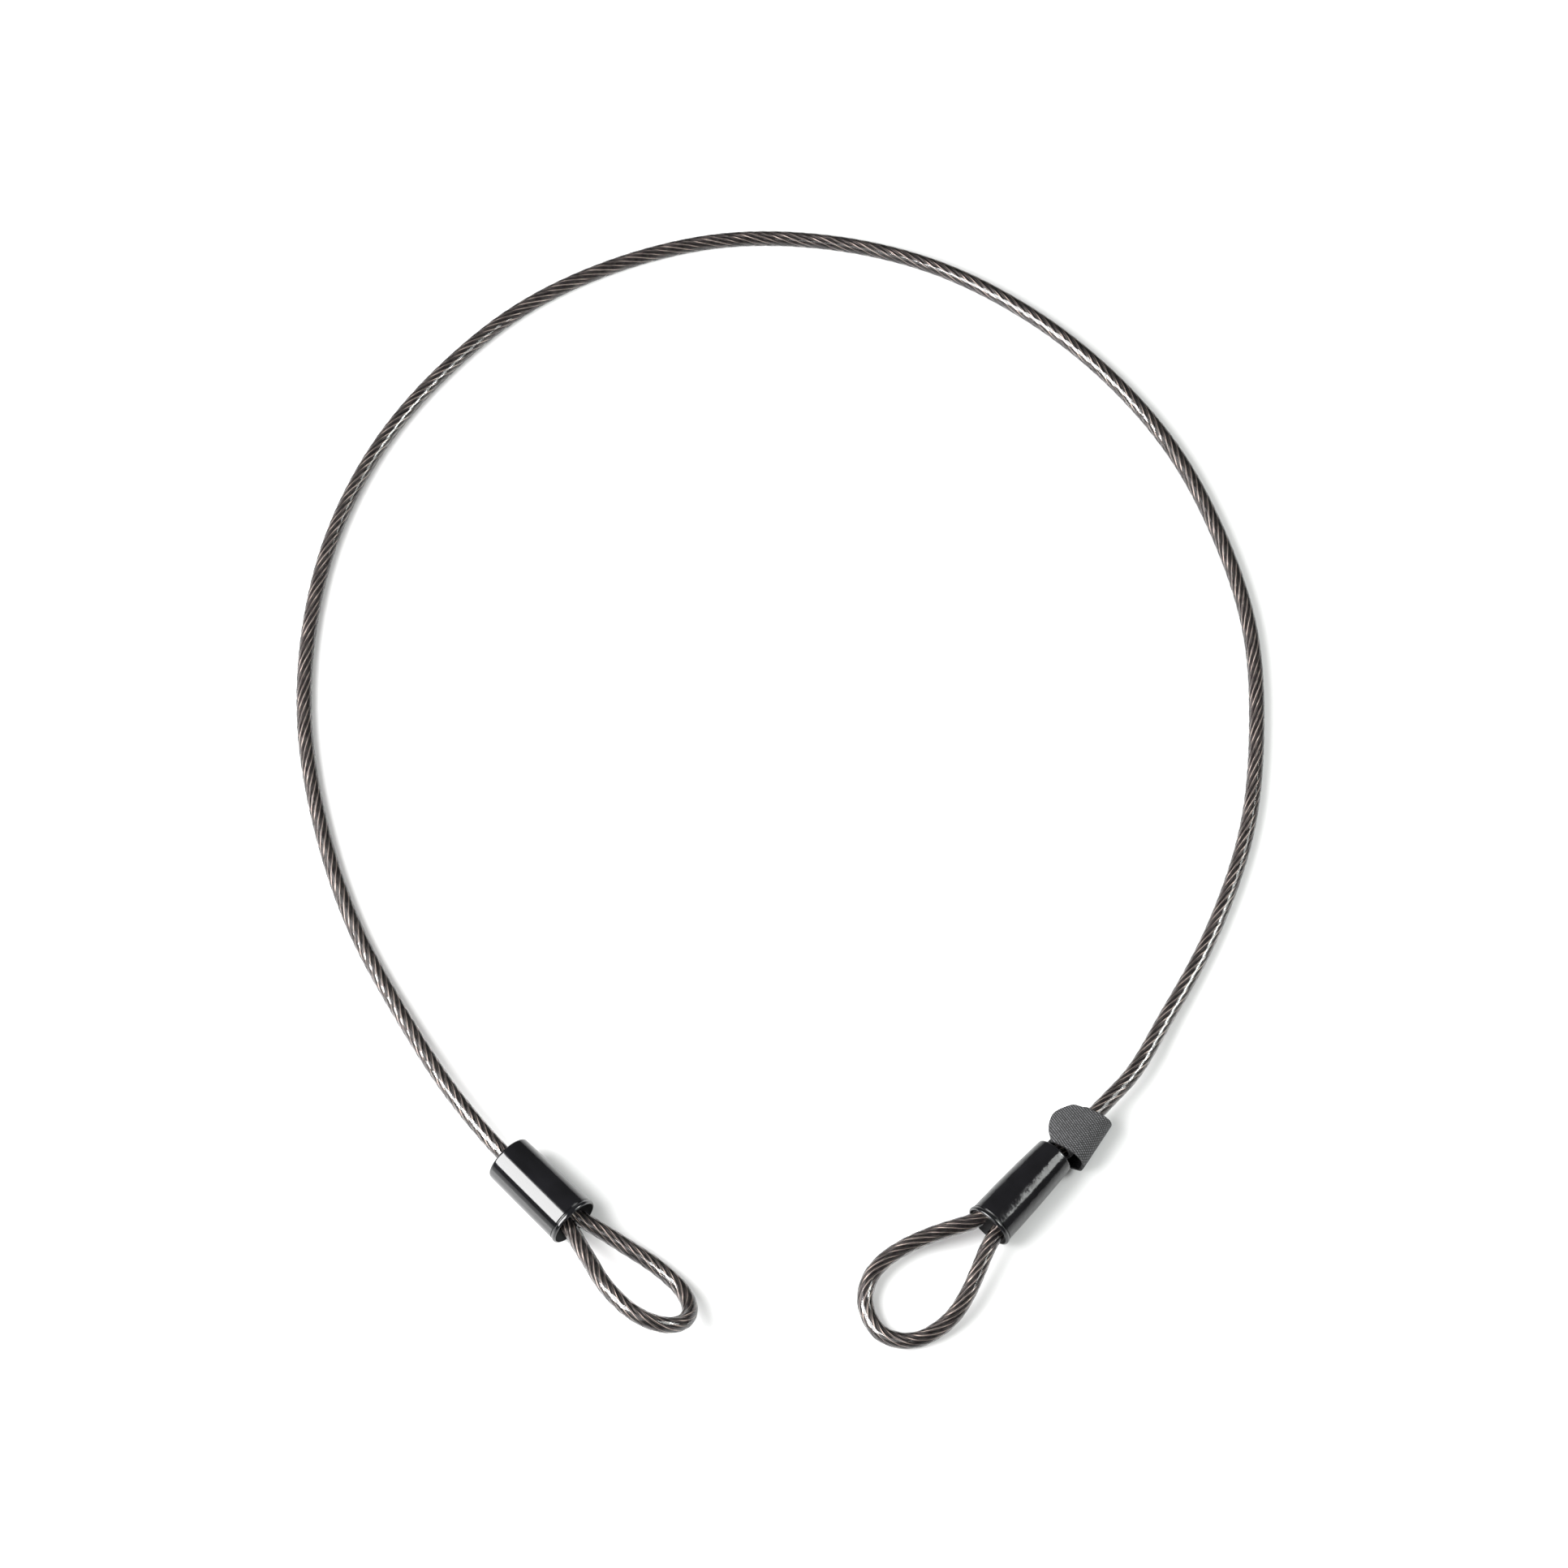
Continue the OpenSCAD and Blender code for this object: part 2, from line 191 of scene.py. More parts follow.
LEFT = End(
    "left", (-0.095, -0.001), -46, 0.042, 0.011, 0.01135, 0.0117, -36, 4.5,
    [
        (-0.003, -0.0039), (0.003, -0.0052), (0.012, -0.0085), (0.022, -0.012), (0.032, -0.0155),
        (0.042, -0.017), (0.051, -0.0165), (0.059, -0.013), (0.064, -0.0075), (0.066, 0.0),
        (0.064, 0.0075), (0.059, 0.013), (0.051, 0.0165), (0.042, 0.017), (0.032, 0.0155),
        (0.022, 0.0125), (0.012, 0.0095), (0.003, 0.0063), (-0.003, 0.0039),
    ],
)
RIGHT = End(
    "right", (0.0805, -0.0025), -131.5, 0.0445, 0.0089, 0.0103, 0.0108, 0, -6.4,
    [
        (-0.003, -0.0044), (0.003, -0.007), (0.01, -0.0114), (0.02, -0.0172), (0.03, -0.0216),
        (0.04, -0.0241), (0.049, -0.0236), (0.0575, -0.0192), (0.0625, -0.0123), (0.0645, -0.0045),
        (0.062, 0.0035), (0.0565, 0.0095), (0.048, 0.0131), (0.038, 0.0142), (0.028, 0.0126),
        (0.017, 0.0093), (0.008, 0.0063), (0.003, 0.0051), (-0.003, 0.0042),
    ],
)

# The long stretch, from the right cover to the left one: x, y, and height above lying flat
MAIN_ROUTE = [
    (0.16, 0.098, 0.0015), (0.183, 0.143, 0), (0.199, 0.191, 0), (0.205, 0.24, 0),
    (0.204, 0.29, 0), (0.192, 0.339, 0), (0.172, 0.385, 0), (0.143, 0.425, 0), (0.106, 0.459, 0),
    (0.063, 0.484, 0), (0.015, 0.497, 0), (-0.035, 0.498, 0), (-0.083, 0.485, 0),
    (-0.127, 0.461, 0), (-0.163, 0.427, 0), (-0.192, 0.386, 0), (-0.211, 0.34, 0),
    (-0.22, 0.291, 0), (-0.22, 0.241, 0), (-0.211, 0.192, 0), (-0.195, 0.144, 0),
    (-0.172, 0.099, 0.0015), (-0.145, 0.055, 0.006),
]

# The strap's own directions: along the cable away from the cover, to the left, and up
STRAP_DIR = np.array([
    math.cos(STRAP_HEADING) * math.cos(STRAP_DIP),
    math.sin(STRAP_HEADING) * math.cos(STRAP_DIP),
    -math.sin(STRAP_DIP),
])
STRAP_LEFT = unit(np.cross(UP, STRAP_DIR))
STRAP_UP = np.cross(STRAP_DIR, STRAP_LEFT)

# ---- Curves ----


def tangents(points, first, last):
    """Direction at each point of a route, level where the cable lies on the ground."""
    directions = [first]
    for before, here, after in zip(points[:-2], points[1:-1], points[2:]):
        step_in, step_out = here - before, after - here
        length_in, length_out = np.linalg.norm(step_in), np.linalg.norm(step_out)
        direction = (step_in * length_out / length_in + step_out * length_in / length_out) / (
            length_in + length_out
        )
        if here[2] <= JACKET_R + 1e-9:
            direction[2] = 0.0
        directions.append(direction)
    return directions + [last]


def curve(points, first, last, step):
    """Points, directions and distances along the smooth curve through the points, at even steps."""
    points = [np.array(p, float) for p in points]
    way = tangents(points, first, last)
    fine = []
    per_span = 60
    u = np.linspace(0, 1, per_span, endpoint=False)[:, None]
    for p, q, way_p, way_q in zip(points[:-1], points[1:], way[:-1], way[1:]):
        d = np.linalg.norm(q - p)
        fine.append(
            (2 * u**3 - 3 * u**2 + 1) * p + (u**3 - 2 * u**2 + u) * d * way_p
            + (3 * u**2 - 2 * u**3) * q + (u**3 - u**2) * d * way_q
        )
    fine = np.vstack(fine + [points[-1][None]])
    along = np.concatenate([[0], np.cumsum(np.linalg.norm(np.diff(fine, axis=0), axis=1))])
    count = max(2, int(round(along[-1] / step)) + 1)
    s = np.linspace(0, along[-1], count)
    line = np.column_stack([np.interp(s, along, fine[:, k]) for k in range(3)])
    way = np.gradient(line, axis=0)
    way[0], way[-1] = first, last
    return line, way / np.linalg.norm(way, axis=1)[:, None], s


def sides_of(way):
    """Two directions square to the curve: level to its left, and up."""
    side = np.cross(UP, way)
    side /= np.linalg.norm(side, axis=1)[:, None]
    return side, np.cross(way, side)


def main_curve(step):
    """The long stretch of the cable, from inside the right cover to inside the left one."""
    points = [
        RIGHT.in_cover(ROPE_JOINT, -BORE_OFFSET),
        RIGHT.exit() - END_WALL * STRAP_DIR,
        RIGHT.exit(),
        RIGHT.exit() + STRAIGHT_LEN / 2 * STRAP_DIR,
        RIGHT.exit() + STRAIGHT_LEN * STRAP_DIR,
        RIGHT.exit() + (STRAIGHT_LEN + BEND_START) * STRAP_DIR,
    ]
    points += [np.array([x, y, JACKET_R + z]) for x, y, z in MAIN_ROUTE]
    points += [
        LEFT.exit(),
        LEFT.exit() + END_WALL * LEFT.out,
        LEFT.in_cover(ROPE_JOINT, -BORE_OFFSET),
    ]
    return curve(points, -RIGHT.out, LEFT.out, step)


def eye_curve(end, step):
    """The rope of one end: through its ferrule, round the eye and back, to its cut tail."""
    front, back = FERRULE_FRONT + EASE, FERRULE_BACK
    points = [end.in_cover(x, -BORE_OFFSET) for x in (ROPE_JOINT, back, FERRULE_FRONT, front)]
    points += [end.in_eye(x, w) for x, w in end.eye]
    points += [end.in_cover(x, BORE_OFFSET) for x in (front, FERRULE_FRONT, back, back - TAIL)]
    return curve(points, end.out, -end.out, step)


# ---- Meshes ----


def mesh_object(name, vertices, faces, smooth=True):
    mesh = bpy.data.meshes.new(name)
    mesh.from_pydata(vertices.tolist(), [], faces)
    mesh.polygons.foreach_set("use_smooth", [smooth] * len(mesh.polygons))
    mesh.update()
    piece = bpy.data.objects.new(name, mesh)
    bpy.context.collection.objects.link(piece)
    return piece


def grid_faces(rows, columns, start=0, closed=False):
    """Quads over a grid of points, joined round from its last column to its first if closed."""
    faces = []
    for i in range(rows - 1):
        for j in range(columns if closed else columns - 1):
            a = start + i * columns + j
            b = start + i * columns + (j + 1) % columns
            faces.append((a, b, b + columns, a + columns))
    return faces


def tube(line, way, radius, sides, start=0):
    """Rings of radius(angles, ring numbers) along a curve, with flat ends."""
    side, up = sides_of(way)
    angle = np.linspace(0, 2 * math.pi, sides, endpoint=False)[None, :]
    ring = np.arange(len(line))[:, None]
    r = radius(angle, ring) * np.ones((len(line), sides))
    grid = (
        line[:, None, :]
        + (r * np.cos(angle))[:, :, None] * side[:, None, :]
        + (r * np.sin(angle))[:, :, None] * up[:, None, :]
    )
    vertices = grid.reshape(-1, 3)
    faces = grid_faces(len(line), sides, start, closed=True)
    last = start + (len(line) - 1) * sides
    faces.append(tuple(start + k for k in reversed(range(sides))))
    faces.append(tuple(last + k for k in range(sides)))
    return vertices, faces


def jacket_mesh(name, line, way, s):
    """A jacket with a shallow furrow between each strand and the next."""
    sides = 48

    def radius(angle, ring):
        turn = 2 * math.pi * s[ring] / LAY
        across = np.cos(STRANDS * (angle - turn) / 2)
        return JACKET_R - WAVE * (math.hypot(1, FURROW) - np.hypot(across, FURROW))

    return mesh_object(name, *tube(line, way, radius, sides))


def rope_mesh(name, line, way, s):
    """Six strands of wires laid round a core.

    The attribute crown is 1 where a strand faces straight outwards and -1 where it faces the core.
    """
    side, up = sides_of(way)
    points_per_wire = 4
    count = WIRES * points_per_wire
    section = 2 * math.pi * np.arange(count) / count
    off = (section + math.pi / WIRES) % (2 * math.pi / WIRES) - math.pi / WIRES
    wire_middle = 2 * WIRE_R
    rho = wire_middle * np.cos(off) + np.sqrt(
        np.maximum(WIRE_R**2 - (wire_middle * np.sin(off)) ** 2, 0)
    )
    twist = section[None, :] + 2 * math.pi * s[:, None] / WIRE_LAY
    helix = 2 * STRAND_R
    vertices, faces, crown = [], [], []
    for k in range(STRANDS):
        turn = 2 * math.pi * (k / STRANDS + s / LAY)
        outward = np.cos(turn)[:, None] * side + np.sin(turn)[:, None] * up
        round_way = -np.sin(turn)[:, None] * side + np.cos(turn)[:, None] * up
        run = LAY * way + 2 * math.pi * helix * round_way
        run /= np.linalg.norm(run, axis=1)[:, None]
        across = np.cross(run, outward)
        middle = line + helix * outward
        grid = (
            middle[:, None, :]
            + (rho * np.cos(twist))[:, :, None] * outward[:, None, :]
            + (rho * np.sin(twist))[:, :, None] * across[:, None, :]
        )
        start = k * len(line) * count
        vertices.append(grid.reshape(-1, 3))
        crown.append(np.cos(twist).ravel())
        faces += grid_faces(len(line), count, start, closed=True)
        last = start + (len(line) - 1) * count
        faces.append(tuple(start + j for j in reversed(range(count))))
        faces.append(tuple(last + j for j in range(count)))
    core, core_faces = tube(
        line, way, lambda angle, ring: STRAND_R, 8, start=STRANDS * len(line) * count
    )
    vertices.append(core)
    crown.append(np.full(len(core), -1.0))
    rope = mesh_object(name, np.vstack(vertices), faces + core_faces)
    attribute = rope.data.attributes.new("crown", "FLOAT", "POINT")
    attribute.data.foreach_set("value", np.concatenate(crown))
    return rope


# ---- Materials ----


def material(name):
    """A new material, with its nodes, its links and its main shader."""
    m = bpy.data.materials.new(name)
    m.use_nodes = True
    shader = m.node_tree.nodes["Principled BSDF"]
    return m, m.node_tree.nodes, m.node_tree.links, shader


def noise(nodes, links, scale, detail):
    """Noise in the piece's own space."""
    n = nodes.new("ShaderNodeTexNoise")
    n.inputs["Scale"].default_value = scale
    n.inputs["Detail"].default_value = detail
    links.new(nodes.new("ShaderNodeTexCoord").outputs["Object"], n.inputs["Vector"])
    return n.outputs["Fac"]


def ramp(nodes, links, fac, stops):
    """A colour that goes from the first of two stops to the second."""
    r = nodes.new("ShaderNodeValToRGB")
    for element, (at, colour) in zip(r.color_ramp.elements, stops):
        element.position = at
        element.color = (*colour, 1)
    links.new(fac, r.inputs["Fac"])
    return r.outputs["Color"]


def bump(nodes, links, height, distance, strength=1.0):
    """The surface's normal for small bumps, whose heights are the given ones times the distance."""
    b = nodes.new("ShaderNodeBump")
    b.inputs["Distance"].default_value = distance
    b.inputs["Strength"].default_value = strength
    links.new(height, b.inputs["Height"])
    return b.outputs["Normal"]


def vinyl_material():
    """Clear smoke-grey vinyl. Shadow rays pass it as through thin film, so the rope inside is lit."""
    m, nodes, links, shader = material("smoke_vinyl")
    tint = ramp(
        nodes, links, noise(nodes, links, 60, 2),
        [(0.3, (0.95, 0.93, 0.93)), (0.7, (0.98, 0.97, 0.97))],
    )
    links.new(tint, shader.inputs["Base Color"])
    shader.inputs["Transmission Weight"].default_value = 1.0
    shader.inputs["IOR"].default_value = 1.54
    shader.inputs["Roughness"].default_value = 0.03
    links.new(bump(nodes, links, noise(nodes, links, 700, 2), 0.00002, 0.5), shader.inputs["Normal"])
    through = nodes.new("ShaderNodeBsdfTransparent")
    through.inputs["Color"].default_value = (0.93, 0.93, 0.93, 1)
    mix = nodes.new("ShaderNodeMixShader")
    path = nodes.new("ShaderNodeLightPath")
    links.new(path.outputs["Is Shadow Ray"], mix.inputs["Fac"])
    links.new(shader.outputs["BSDF"], mix.inputs[1])
    links.new(through.outputs["BSDF"], mix.inputs[2])
    links.new(mix.outputs["Shader"], nodes["Material Output"].inputs["Surface"])
    smoke = nodes.new("ShaderNodeVolumeAbsorption")
    smoke.inputs["Color"].default_value = (0.14, 0.10, 0.10, 1)
    smoke.inputs["Density"].default_value = 380
    links.new(smoke.outputs["Volume"], nodes["Material Output"].inputs["Volume"])
    return m


def steel_material():
    """Dark oiled wire, with a painted highlight: a thin bright line of colour along each strand's
    crown, where it faces outwards.
    """
    m, nodes, links, shader = material("rope_steel")
    dark_colour = ramp(
        nodes, links, noise(nodes, links, 350, 4),
        [(0.3, (0.11, 0.104, 0.1)), (0.7, (0.21, 0.197, 0.19))],
    )
    # Painted highlight: the wires are coloured a light cream where a strand faces straight outwards.
    crown = nodes.new("ShaderNodeAttribute")
    crown.attribute_name = "crown"
    painted_crown_highlight = ramp(nodes, links, crown.outputs["Fac"], [(0.95, (0,) * 3), (0.99, (1,) * 3)])
    colour = nodes.new("ShaderNodeMix")
    colour.data_type = "RGBA"
    links.new(painted_crown_highlight, colour.inputs["Factor"])
    links.new(dark_colour, colour.inputs["A"])
    colour.inputs["B"].default_value = (0.88, 0.77, 0.69, 1)
    links.new(colour.outputs["Result"], shader.inputs["Base Color"])
    shader.inputs["Metallic"].default_value = 1.0
    rough = ramp(nodes, links, noise(nodes, links, 900, 3), [(0.3, (0.38,) * 3), (0.7, (0.52,) * 3)])
    links.new(rough, shader.inputs["Roughness"])
    links.new(bump(nodes, links, noise(nodes, links, 2500, 2), 0.00002), shader.inputs["Normal"])
    return m


def black_plastic(name, wrinkle, roughness):
    """Glossy black plastic with fine wrinkles of the given depth, matt on a cover's inner wall."""
    m, nodes, links, shader = material(name)
    colour = ramp(
        nodes, links, noise(nodes, links, 90, 3),
        [(0.35, (0.003, 0.003, 0.0035)), (0.7, (0.005, 0.005, 0.006))],
    )
    links.new(colour, shader.inputs["Base Color"])
    outside_rough = ramp(
        nodes, links, noise(nodes, links, 260, 4),
        [(0.35, (roughness,) * 3), (0.75, (roughness * 1.8,) * 3)],
    )
    inside = nodes.new("ShaderNodeAttribute")
    inside.attribute_name = "inside"
    rough = nodes.new("ShaderNodeMix")
    links.new(inside.outputs["Fac"], rough.inputs["Factor"])
    links.new(outside_rough, rough.inputs["A"])
    rough.inputs["B"].default_value = 0.7
    links.new(rough.outputs["Result"], shader.inputs["Roughness"])
    shader.inputs["IOR"].default_value = 1.55
    links.new(bump(nodes, links, noise(nodes, links, 420, 3), wrinkle), shader.inputs["Normal"])
    return m


def aluminium_material():
    """The ferrules' dull metal, coloured a dark grey."""
    m, nodes, links, shader = material("ferrule_aluminium")
    colour = ramp(
        nodes, links, noise(nodes, links, 500, 4),
        [(0.3, (0.15, 0.15, 0.157)), (0.7, (0.24, 0.24, 0.25))],
    )
    links.new(colour, shader.inputs["Base Color"])
    shader.inputs["Metallic"].default_value = 1.0
    shader.inputs["Roughness"].default_value = 0.5
    links.new(bump(nodes, links, noise(nodes, links, 1500, 3), 0.00004), shader.inputs["Normal"])
    return m


def floor_material():
    """Smooth pale paper."""
    m, nodes, links, shader = material("pale_floor")
    colour = ramp(
        nodes, links, noise(nodes, links, 4, 1), [(0.3, (0.68,) * 3), (0.7, (0.685,) * 3)]
    )
    links.new(colour, shader.inputs["Base Color"])
    shader.inputs["Roughness"].default_value = 0.12
    return m


VINYL = vinyl_material()
STEEL = steel_material()
LEFT_PLASTIC = black_plastic("polished_black", 0.000004, 0.06)
RIGHT_PLASTIC = black_plastic("glossy_black", 0.00008, 0.1)
ALUMINIUM = aluminium_material()


def put(piece, surface, body, node):
    """Give a piece its material and its body, and hide the node it replaces."""
    piece.data.materials.append(surface)
    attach(piece, body)
    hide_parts(node)


# ---- The cable ----

CORD_STEP = 0.00125  # distance between the rings of a rope's or a jacket's mesh


def make_main():
    """The long stretch, which is a free cord: its jacket and the rope inside."""
    line, way, s = main_curve(CORD_STEP)
    jacket = jacket_mesh("cable_jacket", line, way, s)
    put(jacket, VINYL, "cable", "main_jacket")
    rope = rope_mesh("cable_rope", line, way, s)
    put(rope, STEEL, "cable", "main_rope")


def make_eye(end):
    """The rope of an eye, and its jacket, which starts and ends just inside the cover's mouth."""
    line, way, s = eye_curve(end, CORD_STEP)
    rope = rope_mesh(f"{end.name}_eye_strands", line, way, s)
    put(rope, STEEL, "cable", f"{end.name}_eye_rope")
    out_of_mouth = (line - end.mouth) @ end.out
    jacketed = np.flatnonzero(out_of_mouth > end.eye[0][0])
    part = slice(jacketed[0], jacketed[-1] + 1)
    jacket = jacket_mesh(f"{end.name}_eye_vinyl", line[part], way[part], s[part])
    put(jacket, VINYL, "cable", f"{end.name}_eye_jacket")


make_main()
for end in (LEFT, RIGHT):
    make_eye(end)

# ---- Covers and ferrules ----


def arc(middle, r, first, last, count=8):
    """Points of a round edge in a cover's section, from one angle to another in degrees."""
    a = np.radians(np.linspace(first, last, count))
    return [(middle[0] + r * math.cos(t), middle[1] + r * math.sin(t)) for t in a]


INNER_POINTS = 5  # the last points of the section, which lie on the cover's inner wall


def cover_section(end):
    """Half section: distance from the axis, and distance out of the mouth."""
    bead_r = end.rim_r - RIM_ROUND
    mouth_r = end.rim_r - MOUTH_WALL
    lip = LIP_ROUND
    section = arc((ENTRY_R + lip, lip - end.length), lip, 180, 270, 5)
    section += arc((end.end_r - END_ROUND, END_ROUND - end.length), END_ROUND, -90, 0)
    body_start, body_end = END_ROUND - end.length, -RIM_LEN - GROOVE_W
    for t in [*np.linspace(0, 0.99, 24)[1:], 0.996, 1]:
        x = body_start + t * (body_end - body_start)
        swell = t + BARREL * t * (1 - t)
        section.append((end.end_r + swell * (end.body_r - end.end_r), x))
    section += arc((end.body_r - GROOVE_SINK, -RIM_LEN - GROOVE_W / 2), GROOVE_W / 2, -90, -200, 5)
    section += arc((bead_r, RIM_ROUND - RIM_LEN), RIM_ROUND, -90, 0)
    section += arc((bead_r, -RIM_ROUND), RIM_ROUND, 0, 90)
    section += arc((mouth_r + lip / 2, -lip / 2), lip / 2, 90, 180, 4)
    section += [(mouth_r, -MOUTH_DEPTH), (CAVITY_R, -MOUTH_DEPTH)]
    section += [(CAVITY_R, END_WALL - end.length), (ENTRY_R, END_WALL - end.length)]
    return section


def make_cover(end, surface, dent_depth):
    """A cover turned about its axis. Shallow dents in its side break up what it reflects."""
    sides = 144
    section = np.array(cover_section(end))
    angle = np.linspace(0, 2 * math.pi, sides, endpoint=False)
    r = section[:, :1] * np.ones((1, sides))
    x = section[:, 1:] * np.ones((1, sides))
    outer = (r > end.end_r - 0.0002) & (x < -RIM_LEN)
    waves = (
        np.sin(3 * angle[None, :] + 260 * x) * np.sin(410 * x + 1.3)
        + 0.6 * np.sin(7 * angle[None, :] - 530 * x + 0.7)
        + 0.4 * np.sin(11 * angle[None, :] + 900 * x)
    )
    r = r - dent_depth * outer * (1 + waves / 2)
    grid = (
        end.mouth
        + x[:, :, None] * end.out
        + (r * np.cos(angle))[:, :, None] * end.left
        + (r * np.sin(angle))[:, :, None] * UP
    )
    faces = grid_faces(len(section), sides, closed=True)
    last = (len(section) - 1) * sides
    faces += [(last + j, last + (j + 1) % sides, (j + 1) % sides, j) for j in range(sides)]
    piece = mesh_object(f"{end.name}_shell", grid.reshape(-1, 3), faces)
    inside = np.repeat(np.arange(len(section)) >= len(section) - INNER_POINTS, sides)
    attribute = piece.data.attributes.new("inside", "FLOAT", "POINT")
    attribute.data.foreach_set("value", inside.astype(float))
    put(piece, surface, "cable", f"{end.name}_cover")


make_cover(LEFT, LEFT_PLASTIC, 0.0)
make_cover(RIGHT, RIGHT_PLASTIC, 0.00003)

# The ferrules stay as the CAD makes them, because little of them is seen
for end in (LEFT, RIGHT):
    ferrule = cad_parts[f"{end.name}_ferrule"]
    ferrule.data.materials.clear()
    ferrule.data.materials.append(ALUMINIUM)

# ---- Strap ----

# The outer turn of the strap is loose, as cloth is: it stands off to the right and runs askew.
# Near is its edge by the cover, and far is its other edge.
FLARE_NEAR = 0.0058  # how far it stands off
FLARE_FAR = 0.0019
FLARE_AT = math.radians(200)  # the side where it stands off most
FLARE_SPAN = math.radians(110)  # and how far round it does so, to each side of that
FOLD = 0.0007  # height of a small fold at the near edge
FOLD_AT = math.radians(212)
FOLD_SPAN = math.radians(8)
SKEW_NEAR = 0.22  # how far its edges run askew for each unit to the left
SKEW_FAR = 0.39
SHIFT_NEAR = -0.0011  # how far its edges are shifted along the cable
SHIFT_FAR = -0.0002
INNER_SHIFT = 0.0004  # the same for the inner turn
DROOP = 7  # the tongue's drop, over the square of the distance from its root
CORNER_DROOP = 90  # and what its corner by the cover adds to that

# How far the tongue reaches, from its corner by the cover to its far corner: distance, reach
TONGUE_EDGE = [
    (0, 0.0038), (0.002, 0.0056), (0.005, 0.0084), (0.0075, 0.0101), (0.01, 0.0112),
    (0.0125, 0.0118), (0.0145, 0.0117), (0.0165, 0.011), (0.019, 0.0096), (0.0207, 0.0082),
    (0.021, 0.0072),
]

KNIT_ANGLE = math.radians(31)  # how far the knit's columns run aslant
KNIT_COLUMN = 0.00084  # from one column to the next
KNIT_ROW = 0.00074  # from one loop of a column to the next


def strap_material(name, dark, light):
    """Knitted cloth: columns of loops, set out by the distances along and across the tape. The loops
    are coloured far lighter than the gaps between them, which is partly the knit's own pattern and
    partly painted glints on the loops and painted shade in the gaps.
    """
    m, nodes, links, shader = material(name)
    tape = nodes.new("ShaderNodeAttribute")
    tape.attribute_name = "tape"
    split = nodes.new("ShaderNodeSeparateXYZ")
    links.new(tape.outputs["Vector"], split.inputs["Vector"])

    def calc(operation, a, b=None):
        n = nodes.new("ShaderNodeMath")
        n.operation = operation
        for socket, value in zip(n.inputs, (a, b)):
            if value is None:
                continue
            if isinstance(value, (int, float)):
                socket.default_value = value
            else:
                links.new(value, socket)
        return n.outputs["Value"]

    def stripes(distance, spacing):
        wave = calc("COSINE", calc("MULTIPLY", distance, math.pi / spacing))
        return calc("MULTIPLY", wave, wave)

    row = stripes(split.outputs["X"], KNIT_ROW)
    column = stripes(split.outputs["Y"], KNIT_COLUMN)
    loops = calc("MULTIPLY", column, calc("ADD", calc("MULTIPLY", row, 0.7), 0.3))
    fibre = noise(nodes, links, 1500, 3)
    # Painted glints and shade: the colour runs from near black in the gaps to light grey on the
    # loops.
    knit_glint_and_shade_tone = calc("MULTIPLY", loops, calc("ADD", calc("MULTIPLY", fibre, 2.0), -0.2))
    colour = ramp(nodes, links, knit_glint_and_shade_tone, [(0.15, dark), (0.95, light)])
    links.new(colour, shader.inputs["Base Color"])
    shader.inputs["Roughness"].default_value = 0.8
    shader.inputs["Sheen Weight"].default_value = 0.05
    shader.inputs["Sheen Roughness"].default_value = 0.5
    height = calc("ADD", loops, calc("MULTIPLY", fibre, 0.8))
    links.new(bump(nodes, links, height, 0.00012), shader.inputs["Normal"])
    return m


LOOP_CLOTH = strap_material("grey_loop_cloth", (0.005, 0.005, 0.0053), (0.15, 0.15, 0.158))
HOOK_CLOTH = strap_material("black_hook_cloth", (0.003, 0.003, 0.0035), (0.014, 0.014, 0.015))


def on_strap(along, left, up):
    """Points by their distance from the strap's edge by the cover, and from the cable's axis."""
    return (
        RIGHT.exit()
        + (STRAP_GAP + along)[..., None] * STRAP_DIR
        + left[..., None] * STRAP_LEFT
        + up[..., None] * STRAP_UP
    )


def knit(length, width):
    """Where a point of the tape lies in its knit, whose columns run aslant."""
    x = length * math.cos(KNIT_ANGLE) + width * math.sin(KNIT_ANGLE)
    y = width * math.cos(KNIT_ANGLE) - length * math.sin(KNIT_ANGLE)
    return np.stack([x, y, 0 * x], axis=-1)


def tape_piece(name, inner, outer, tape):
    """A closed sheet: grids of the inner and outer faces joined along their edges.

    The attribute tape holds where each point lies in the knit.
    """
    rows, columns = inner.shape[:2]
    n = rows * columns
    faces = [tuple(reversed(f)) for f in grid_faces(rows, columns)]
    faces += grid_faces(rows, columns, start=n)
    border = [(i, 0) for i in range(rows)]
    border += [(rows - 1, j) for j in range(1, columns)]
    border += [(i, columns - 1) for i in range(rows - 2, -1, -1)]
    border += [(0, j) for j in range(columns - 2, 0, -1)]
    index = [i * columns + j for i, j in border]
    for a, b in zip(index, index[1:] + index[:1]):
        faces.append((a, b, n + b, n + a))
    piece = mesh_object(name, np.vstack([inner.reshape(-1, 3), outer.reshape(-1, 3)]), faces)
    piece.data.set_sharp_from_angle(angle=math.radians(50))
    values = np.vstack([tape.reshape(-1, 3)] * 2).astype(np.float32)
    attribute = piece.data.attributes.new("tape", "FLOAT_VECTOR", "POINT")
    attribute.data.foreach_set("vector", values.ravel())
    return piece


def askew(left, share, outer):
    """How far along the cable a point of the tape has moved; outer is 1 on the outer turn."""
    skew = SKEW_NEAR + (SKEW_FAR - SKEW_NEAR) * share
    shift = SHIFT_NEAR + (SHIFT_FAR - SHIFT_NEAR) * share
    return outer * (shift - skew * left) + (1 - outer) * INNER_SHIFT


